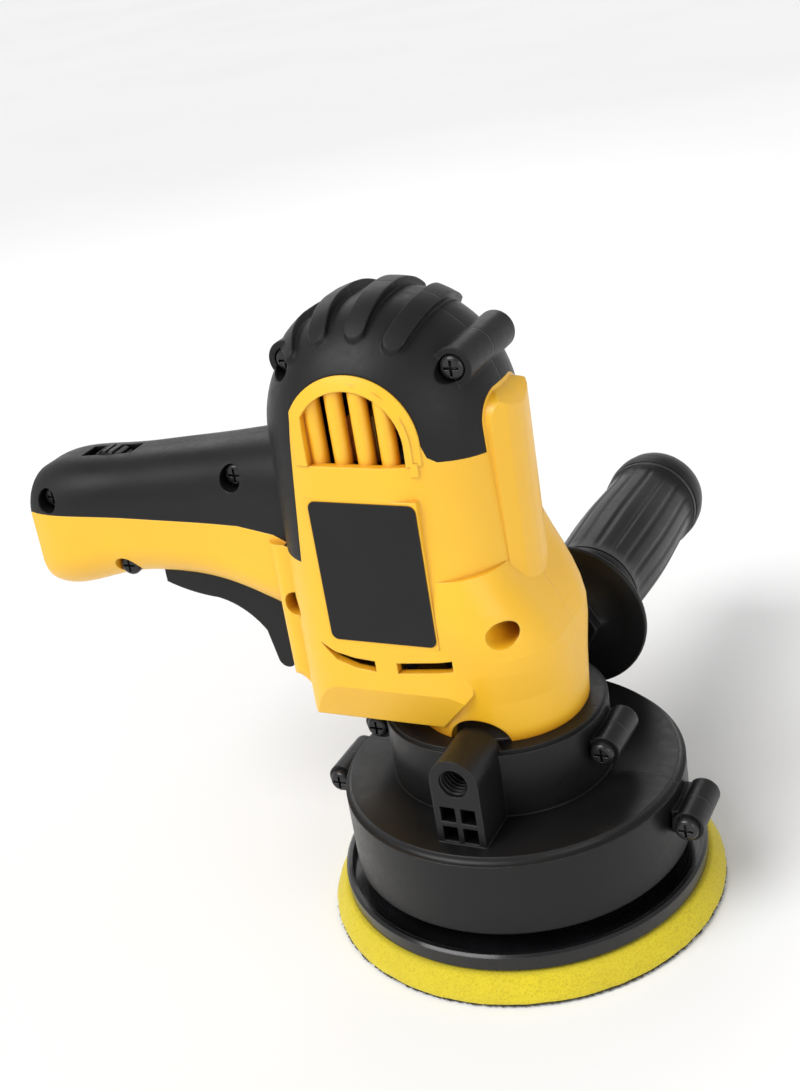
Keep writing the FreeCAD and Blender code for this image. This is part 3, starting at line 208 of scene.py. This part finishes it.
def machined(name, tone, dark, roughness, stretch=(400, 400, 4000), metallic=1.0):
    """Turned or ground metal with fine tool marks round the vertical axis and a painted highlight along
    rounded edges.
    """
    look = Shading(name)
    marks = look.noise(1.0, 3, 0.6, stretch)
    cloud = look.noise(60, 3)
    colour = look.ramp(cloud, [(0.3, dark), (0.7, tone)])
    edge, rounded = look.edge(0.25 * MM)
    # painted highlight: rounded edges are a quarter lighter than the metal
    colour = look.mix(edge, colour, tuple(min(1.0, c * 1.25) for c in tone))
    rough = look.maths("ADD", look.span(marks, roughness[0], roughness[1]), look.span(cloud, -0.04, 0.06))
    look.feed(Base_Color=colour, Roughness=rough, Normal=look.bump(marks, 0.15, 0.03 * MM, rounded))
    look.set(Metallic=metallic)
    return look.material


def wound_copper(name):
    """Enamelled magnet wire packed side by side, with painted shade between the wires and a painted
    highlight along each wire.
    """
    look = Shading(name)
    waves = look.add("ShaderNodeTexWave", wave_type="BANDS", bands_direction="DIAGONAL")
    waves.inputs["Scale"].default_value = 420
    waves.inputs["Distortion"].default_value = 1.2
    look.join(look.place, waves.inputs["Vector"])
    strands = waves.outputs["Fac"]
    # painted shade and highlight: each wire runs from dark in the grooves to bright on its crest
    colour = look.ramp(strands, [(0.1, (0.18, 0.05, 0.015)), (0.6, (0.62, 0.24, 0.08)),
                                 (1.0, (0.85, 0.42, 0.18))])
    look.feed(Base_Color=colour, Roughness=look.span(strands, 0.45, 0.28, 0.0, 1.0),
              Normal=look.bump(strands, 0.9, 0.3 * MM))
    look.set(Metallic=0.75, Coat_Weight=0.4, Coat_Roughness=0.2)
    return look.material


def laminated(name):
    """Stacked electrical steel, each sheet a thin dark line."""
    look = Shading(name)
    waves = look.add("ShaderNodeTexWave", wave_type="BANDS", bands_direction="Z")
    waves.inputs["Scale"].default_value = 320
    waves.inputs["Distortion"].default_value = 0.3
    look.join(look.place, waves.inputs["Vector"])
    sheets = waves.outputs["Fac"]
    cloud = look.noise(90, 4)
    colour = look.mix(cloud, look.ramp(sheets, [(0.0, (0.03, 0.03, 0.035)), (0.7, (0.16, 0.16, 0.17))]),
                      (0.12, 0.09, 0.07))
    look.feed(Base_Color=colour, Roughness=look.span(cloud, 0.4, 0.65),
              Normal=look.bump(sheets, 0.5, 0.1 * MM))
    look.set(Metallic=0.8)
    return look.material


def open_foam(name):
    """Bright foam: fine pores with painted shade in them, a soft glow and slightly paler skin where it is
    rubbed.
    """
    look = Shading(name)
    pores = look.cells(1500)
    coarse = look.cells(520)
    cloud = look.noise(45, 4)
    fine_pits = look.span(pores, 0.0, 1.0, 0.05, 0.5)
    pitted = look.maths("MULTIPLY", fine_pits, look.span(coarse, 0.4, 1.0, 0.05, 0.35))
    colour = look.ramp(cloud, [(0.3, (0.58, 0.46, 0.012)), (0.7, (0.64, 0.52, 0.016))])
    # painted shade: the pores are darker than the foam
    colour = look.mix(pitted, (0.48, 0.37, 0.006), colour)
    look.feed(Base_Color=colour, Roughness=look.span(cloud, 0.75, 0.95),
              Normal=look.bump(pitted, 0.35, 0.18 * MM))
    look.set(Subsurface_Weight=0.25, Subsurface_Scale=0.002, Subsurface_Radius=(1.0, 0.8, 0.2),
             Sheen_Weight=0.15)
    return look.material


def hook_fabric(name):
    """Dark woven hook-and-loop backing."""
    look = Shading(name)
    loops = look.cells(900)
    cloud = look.noise(120, 4)
    colour = look.ramp(cloud, [(0.3, (0.015, 0.014, 0.008)), (0.65, (0.06, 0.055, 0.025)),
                               (0.9, (0.30, 0.26, 0.03))])
    look.feed(Base_Color=colour, Roughness=look.span(cloud, 0.8, 1.0),
              Normal=look.bump(loops, 0.9, 0.4 * MM))
    look.set(Sheen_Weight=0.3)
    return look.material


def polished_disc(name):
    """Glossy black plastic with faint circular swirl marks and a painted highlight along rounded edges."""
    look = Shading(name)
    cloud = look.noise(40, 3)
    swirl = look.add("ShaderNodeTexWave", wave_type="RINGS", rings_direction="Z")
    swirl.inputs["Scale"].default_value = 260
    swirl.inputs["Distortion"].default_value = 3.0
    swirl.inputs["Detail"].default_value = 3.0
    look.join(look.place, swirl.inputs["Vector"])
    edge, rounded = look.edge(0.5 * MM)
    # painted highlight: rounded edges are lighter grey than the disc
    colour = look.mix(edge, look.ramp(cloud, [(0.3, (0.004, 0.004, 0.0045)), (0.7, (0.008, 0.008, 0.009))]),
                      (0.035, 0.035, 0.038))
    rings = swirl.outputs["Fac"]
    rough = look.maths("ADD", look.span(cloud, 0.16, 0.28), look.span(rings, 0.0, 0.05, 0.4, 1.0))
    look.feed(Base_Color=colour, Roughness=rough, Normal=look.bump(rings, 0.04, 0.05 * MM, rounded))
    look.set(Coat_Weight=0.25, Coat_Roughness=0.1, Specular_IOR_Level=0.3)
    return look.material


def printed_film(name):
    """Plain dark printed film with a satin face and a painted highlight along its rounded edges."""
    look = Shading(name)
    cloud = look.noise(60, 3)
    fine = look.noise(1800, 2)
    edge, rounded = look.edge(0.3 * MM)
    face = look.ramp(cloud, [(0.3, (0.0050, 0.0050, 0.0052)), (0.7, (0.0075, 0.0075, 0.0078))])
    # painted highlight: the rounded edges are lighter than the print
    colour = look.mix(edge, face, (0.045, 0.045, 0.045))
    look.feed(Base_Color=colour, Roughness=look.span(cloud, 0.42, 0.52),
              Normal=look.bump(fine, 0.08, 0.03 * MM, rounded))
    look.set(Specular_IOR_Level=0.28)
    return look.material


def make_materials():
    # each set: two tones of the plastic, then the colour of its painted shade in corners and slots; the
    # single colour after the set in each moulded() call below is its painted edge highlight
    yellow = ((0.83, 0.45, 0.014), (0.87, 0.49, 0.018), (0.60, 0.20, 0.004))
    black = ((0.0055, 0.0055, 0.006), (0.0085, 0.0085, 0.0092), (0.0015, 0.0015, 0.0015))
    cover = ((0.0060, 0.0060, 0.0066), (0.0095, 0.0095, 0.0105), (0.0015, 0.0015, 0.0015))
    case = ((0.03, 0.03, 0.034), (0.05, 0.05, 0.055), (0.01, 0.01, 0.01))
    return {
        "yellow_plastic": moulded("yellow_plastic", yellow, (0.96, 0.62, 0.08), (0.36, 0.46), (1500, 0.16),
                                  0.7 * MM, 0.12, 0.5),
        "black_plastic": moulded("black_plastic", black, (0.045, 0.045, 0.048), (0.30, 0.42), (1300, 0.20),
                                 0.7 * MM, 0.0, 0.26),
        "black_cover": moulded("black_cover", cover, (0.034, 0.034, 0.037), (0.38, 0.50), (1100, 0.28),
                               0.9 * MM, 0.0, 0.25),
        "gloss_black": polished_disc("gloss_black"),
        "foam": open_foam("foam"),
        "hook_fabric": hook_fabric("hook_fabric"),
        "steel": machined("steel", (0.62, 0.61, 0.60), (0.48, 0.47, 0.46), (0.22, 0.38)),
        "bearing_steel": machined("bearing_steel", (0.70, 0.70, 0.71), (0.60, 0.60, 0.61), (0.10, 0.20)),
        "zinc": machined("zinc", (0.56, 0.56, 0.57), (0.44, 0.44, 0.45), (0.42, 0.58), (300, 300, 300)),
        "screw_black": machined("screw_black", (0.05, 0.05, 0.052), (0.025, 0.025, 0.027), (0.22, 0.36),
                                (900, 900, 900), 0.7),
        "copper": wound_copper("copper"),
        "lamination": laminated("lamination"),
        "brass": machined("brass", (0.75, 0.55, 0.22), (0.62, 0.43, 0.15), (0.25, 0.4)),
        "carbon": moulded("carbon", case, (0.12, 0.12, 0.12), (0.4, 0.6), (900, 0.3)),
        "fan_plastic": moulded("fan_plastic", case, (0.09, 0.09, 0.10), (0.4, 0.55), (1300, 0.2)),
        "case_plastic": moulded("case_plastic", case, (0.12, 0.12, 0.13), (0.4, 0.55), (1300, 0.2)),
        "label": printed_film("label"),
        "grommet": moulded("grommet", cover, (0.05, 0.05, 0.05), (0.5, 0.65), (1100, 0.3)),
    }


materials = make_materials()


def finish_cad_nodes():
    """Gives every CAD node its procedural material."""
    for part in frame["record"]["subparts"]:
        node = nodes[part["node"]]
        node.data.materials.clear()
        node.data.materials.append(materials[part["material_slot"]])


finish_cad_nodes()


# ---------------------------------------------------------------- added pieces


def solid(name, points, faces, body, slot):
    """A smooth-shaded mesh from points in millimetres, riding on a body."""
    mesh = bpy.data.meshes.new(name)
    mesh.from_pydata([[c * MM for c in point] for point in points], [], faces)
    work = bmesh.new()
    work.from_mesh(mesh)
    bmesh.ops.recalc_face_normals(work, faces=work.faces)
    work.to_mesh(mesh)
    work.free()
    mesh.polygons.foreach_set("use_smooth", [True] * len(mesh.polygons))
    mesh.set_sharp_from_angle(angle=math.radians(38))
    mesh.materials.append(materials[slot])
    piece = bpy.data.objects.new(name, mesh)
    bpy.context.scene.collection.objects.link(piece)
    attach(piece, body)
    return piece


def revolved(outline, segments, reach=None, turn=None):
    """Points and faces of an outline turned about an axis.

    outline holds (radius, height) from the axis round to the axis. reach(radius, height, angle) gives the
    radius at each angle, and turn(radius, angle, height) gives the point.
    """
    reach = reach or (lambda radius, height, angle: radius)
    turn = turn or (lambda radius, angle, height:
                    (radius * math.cos(angle), radius * math.sin(angle), height))
    points = [turn(0, 0, outline[0][1])]
    rings = outline[1:-1]
    for radius, height in rings:
        for step in range(segments):
            angle = math.tau * step / segments
            points.append(turn(reach(radius, height, angle), angle, height))
    points.append(turn(0, 0, outline[-1][1]))
    last = len(points) - 1
    faces = []
    for step in range(segments):
        following = (step + 1) % segments
        faces.append((0, 1 + following, 1 + step))
        for ring in range(len(rings) - 1):
            low = 1 + ring * segments
            high = low + segments
            faces.append((low + step, low + following, high + following, high + step))
        top = 1 + (len(rings) - 1) * segments
        faces.append((top + step, top + following, last))
    return points, faces


def ripple(angle, height, scale, seed):
    """Even noise round a ring, about -0.5 to 0.5."""
    place = Vector((math.cos(angle) * scale, math.sin(angle) * scale, height * 0.4 + seed))
    return noise.noise(place)


def make_foam():
    """The yellow foam ring: a soft rounded skirt with uneven cut cells."""
    smooth_within, limit = 58, 62.48
    wave_depth, cell_depth = 0.22, 0.09
    outline = [(0, 0.65), (30, 0.65), (56, 0.65), (60.6, 0.6), (61.7, 0.62), (62.2, 0.85), (62.35, 1.3),
               (62.3, 1.9), (62.1, 2.6), (61.8, 3.4), (61.4, 4.2), (61.0, 5.0), (60.5, 5.8), (59.9, 6.6),
               (59.3, 7.3), (58.8, 7.8), (58.3, 8.12), (57.7, 8.22), (50, 8.22), (0, 8.22)]

    def reach(radius, height, angle):
        if radius < smooth_within:
            return radius
        waves = ripple(angle, height, 16, 3.1) * wave_depth
        cells = ripple(angle, height * 6, 150, 9.7) * cell_depth
        return min(limit, radius + waves + cells)

    foam = solid("foam_skirt", *revolved(outline, 900, reach), "pad_and_spindle", "foam")
    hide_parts("foam_pad")


def make_hook_layer():
    """The dark hook-and-loop backing under the foam: a ragged cut edge with loose fibres."""
    smooth_within, limit = 61, 62.5
    outline = [(0, 0.02), (45, 0.02), (60.4, 0.02), (61.6, 0.05), (62.1, 0.16), (62.2, 0.34), (61.9, 0.5),
               (60.5, 0.56), (45, 0.56), (0, 0.56)]

    def reach(radius, height, angle):
        if radius < smooth_within:
            return radius
        ragged = ripple(angle, height, 60, 1.4) * 0.6 + ripple(angle, height, 260, 5.2) * 0.35
        return min(limit, radius + ragged)

    layer = solid("hook_layer", *revolved(outline, 1100, reach), "pad_and_spindle", "hook_fabric")
    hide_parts("hook_loop_disc")
    fibre_count, root_radius = 420, 61.9
    points, faces = [], []
    for _ in range(fibre_count):
        angle = random.uniform(0, math.tau)
        heading = angle + random.uniform(-0.9, 0.9)
        length = random.uniform(0.35, 1.25) * random.choice((0.6, 0.8, 1.0))
        root = Vector((root_radius * math.cos(angle), root_radius * math.sin(angle),
                       random.uniform(0.1, 0.45)))
        along = Vector((math.cos(heading), math.sin(heading), random.uniform(-0.25, 0.35)))
        across = Vector((-along.y, along.x, 0)).normalized()
        first = len(points)
        for share, width in ((0.0, 0.09), (0.55, 0.07), (1.0, 0.025)):
            middle = root + along * length * share
            middle.z = max(0.06, middle.z - 0.25 * share * share)
            for side in range(3):
                spin = math.tau * side / 3
                ring = across * math.cos(spin) + Vector((0, 0, 1)) * math.sin(spin)
                points.append(tuple(middle + ring * width))
        for level in (0, 3):
            for side in range(3):
                after = (side + 1) % 3
                faces.append((first + level + side, first + level + after, first + level + 3 + after,
                              first + level + 3 + side))
        faces.append((first, first + 2, first + 1))
        faces.append((first + 6, first + 7, first + 8))
    solid("hook_fringe", points, faces, "pad_and_spindle", "hook_fabric")


def make_boss_thread():
    """The M10 thread seen inside the open front boss: one helical ridge on the plain bore."""
    low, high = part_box("side_handle_stud")
    middle = ((low[0] + high[0]) / 2 / MM, (low[2] + high[2]) / 2 / MM)
    # the empty front boss mirrors the back one, whose handle stands 0.3 mm off it
    mouth = 0.3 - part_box("side_handle_grip")[0][1] / MM
    lead_in = 0.9
    pitch, turns, steps = 1.5, 10, 40
    bore, crest, foot = 4.56, 4.02, 0.62
    points, faces = [], []
    total = turns * steps
    for step in range(total + 1):
        angle = math.tau * step / steps
        depth = mouth + lead_in + pitch * step / steps
        fade = min(1.0, step / 12, (total - step) / 12)
        height = bore - (bore - crest) * fade
        for radius, shift in ((bore, -foot), (height, -0.12), (height, 0.12), (bore, foot)):
            points.append((middle[0] + radius * math.cos(angle), depth + shift * max(fade, 0.05),
                           middle[1] + radius * math.sin(angle)))
        if step:
            now, before = step * 4, step * 4 - 4
            for edge in range(4):
                after = (edge + 1) % 4
                faces.append((before + edge, before + after, now + after, now + edge))
    faces.append((0, 1, 2, 3))
    faces.append((total * 4 + 3, total * 4 + 2, total * 4 + 1, total * 4))
    solid("boss_thread", points, faces, "casing", "black_plastic")


def make_side_handle():
    """The side handle: hexagonal hub, thin guard disc and a fluted, ringed grip."""
    low, high = (Vector(corner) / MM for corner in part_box("side_handle_grip"))
    centre_x, centre_z = (low.x + high.x) / 2, (low.z + high.z) / 2
    start, end, guard = low.y, high.y, 54.2
    hex_half_width, flute_depth, flutes = 9.7, 0.55, 18
    outline = [(0, start + 0.1), (10.2, start + 0.1), (10.8, start + 0.5), (10.8, guard - 3.4),
               (11.6, guard - 2.8), (14.2, guard - 1.5), (19.5, guard - 1.05), (24.6, guard - 0.7),
               (25.3, guard - 0.45),
               (25.58, guard + 0.1), (25.58, guard + 0.9), (25.2, guard + 1.5), (23.5, guard + 2.2),
               (20.2, guard + 4.2), (18.6, guard + 6.6), (17.6, guard + 9.0)]
    for ring in range(3):
        y = guard + 9.8 + ring * 3.2
        outline += [(17.5, y), (16.7, y + 0.35), (16.6, y + 0.95), (17.4, y + 1.3)]
    body_start, body_end = guard + 19.6, end - 21
    for step in range(15):
        share = step / 14
        swell = 16.5 + 0.9 * math.sin(math.pi * share) ** 2
        outline.append((swell, body_start + (body_end - body_start) * share))
    for ring in range(2):
        y = body_end + 1.4 + ring * 3.2
        outline += [(17.3, y), (16.6, y + 0.35), (16.5, y + 0.95), (17.4, y + 1.3)]
    outline += [(17.9, end - 13.4), (17.7, end - 9.5), (16.9, end - 6), (15.2, end - 3), (12.8, end - 1.1),
                (10.2, end - 0.2), (0, end)]

    def reach(radius, y, angle):
        if y < guard - 3 and radius > 9:
            sector = math.radians(30)
            local = (angle % (2 * sector)) - sector
            return min(radius + 0.4, hex_half_width / math.cos(local))
        if body_start < y < body_end:
            fade = min(1.0, (y - body_start) / 4, (body_end - y) / 4)
            return radius - flute_depth * fade * max(0.0, math.cos(flutes * angle)) ** 2
        return radius

    def turn(radius, angle, y):
        return centre_x + radius * math.cos(angle), y, centre_z + radius * math.sin(angle)

    grip = solid("side_grip", *revolved(outline, 288, reach, turn), "casing", "black_plastic")
    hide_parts("side_handle_grip")


def make_trigger_coil():
    """The trigger's return spring, built as a coil of wire at one fixed length."""
    low, high = (Vector(corner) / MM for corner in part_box("trigger_spring"))
    middle_x, wire, turns, steps, sides = (low.x + high.x) / 2, 0.45, 9, 28, 8
    radius = (high.x - low.x) / 2 - wire
    total = turns * steps
    points, faces = [], []
    for step in range(total + 1):
        angle = math.tau * step / steps
        height = low.z + wire + (high.z - low.z - 2 * wire) * step / total
        for side in range(sides):
            spin = math.tau * side / sides
            reach = radius + wire * math.cos(spin)
            points.append((middle_x + reach * math.cos(angle), reach * math.sin(angle),
                           height + wire * math.sin(spin)))
        if step:
            now, before = step * sides, (step - 1) * sides
            for side in range(sides):
                after = (side + 1) % sides
                faces.append((before + side, before + after, now + after, now + side))
    faces.append(tuple(range(sides)))
    faces.append(tuple(total * sides + side for side in reversed(range(sides))))
    coil = solid("trigger_coil", points, faces, "casing", "steel")
    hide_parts("trigger_spring")
    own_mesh(coil)


make_foam()
make_hook_layer()
make_boss_thread()
make_side_handle()
make_trigger_coil()


# ---------------------------------------------------------------- camera, floor and light


def make_camera():
    """The photographed three-quarter view from the front right, rolled a little."""
    data = bpy.data.cameras.new("camera")
    data.sensor_width = 36
    data.lens = 51.0
    data.shift_x = -0.0064
    data.shift_y = -0.0216
    data.clip_start = 0.01
    camera = bpy.data.objects.new("camera", data)
    bpy.context.scene.collection.objects.link(camera)
    right = Vector((0.8949593, 0.4207276, -0.1484459))
    up = Vector((-0.0501117, 0.4254176, 0.9036087))
    back = right.cross(up).normalized()
    turn = Matrix((right, up, back)).transposed().to_4x4()
    camera.matrix_world = Matrix.Translation(Vector((0.179891, -0.368002, 0.308049))) @ turn
    bpy.context.scene.camera = camera


def make_floor():
    """A plain pale floor a hair under the pad."""
    look = Shading("studio_floor")
    look.feed(Base_Color=look.ramp(look.noise(3, 3), [(0.3, (0.86, 0.86, 0.86)), (0.7, (0.89, 0.89, 0.89))]))
    look.set(Roughness=0.7)
    bpy.ops.mesh.primitive_plane_add(size=60, location=(0, 0, -0.0004))
    floor = bpy.context.object
    floor.name = "studio_floor"
    floor.data.materials.append(look.material)


def area_light(name, place, aim, size, power):
    data = bpy.data.lights.new(name, "AREA")
    data.shape = "RECTANGLE"
    data.size, data.size_y = size
    data.energy = power
    light = bpy.data.objects.new(name, data)
    bpy.context.scene.collection.objects.link(light)
    light.location = place
    light.rotation_euler = (Vector(aim) - Vector(place)).to_track_quat("-Z", "Y").to_euler()


def make_light():
    """White surroundings that dim overhead, one very soft lamp from the front left and two for the sheen."""
    world = bpy.data.worlds.new("studio")
    bpy.context.scene.world = world
    world.use_nodes = True
    tree = world.node_tree
    sky = tree.nodes["Background"]
    place = tree.nodes.new("ShaderNodeTexCoord")
    split = tree.nodes.new("ShaderNodeSeparateXYZ")
    fade = tree.nodes.new("ShaderNodeValToRGB")
    for element, position, level in zip(fade.color_ramp.elements, (0.06, 0.42), (0.93, 0.46)):
        element.position = position
        element.color = (level, level, level, 1)
    tree.links.new(place.outputs["Generated"], split.inputs["Vector"])
    tree.links.new(split.outputs["Z"], fade.inputs["Fac"])
    tree.links.new(fade.outputs["Color"], sky.inputs["Color"])
    data = bpy.data.lights.new("key", "SUN")
    data.energy = 2.35
    data.angle = math.radians(38)
    key = bpy.data.objects.new("key", data)
    bpy.context.scene.collection.objects.link(key)
    key.rotation_euler = Vector((-0.35, -0.55, 0.75)).to_track_quat("Z", "Y").to_euler()
    middle = (0, 0, 0.09)
    area_light("fill", (0.8, -0.55, 0.45), middle, (0.7, 0.5), 2.4)
    area_light("rim", (-0.5, 0.8, 0.7), middle, (0.8, 0.4), 1.6)
    bpy.context.scene.view_settings.view_transform = "Standard"


make_camera()
make_floor()
make_light()
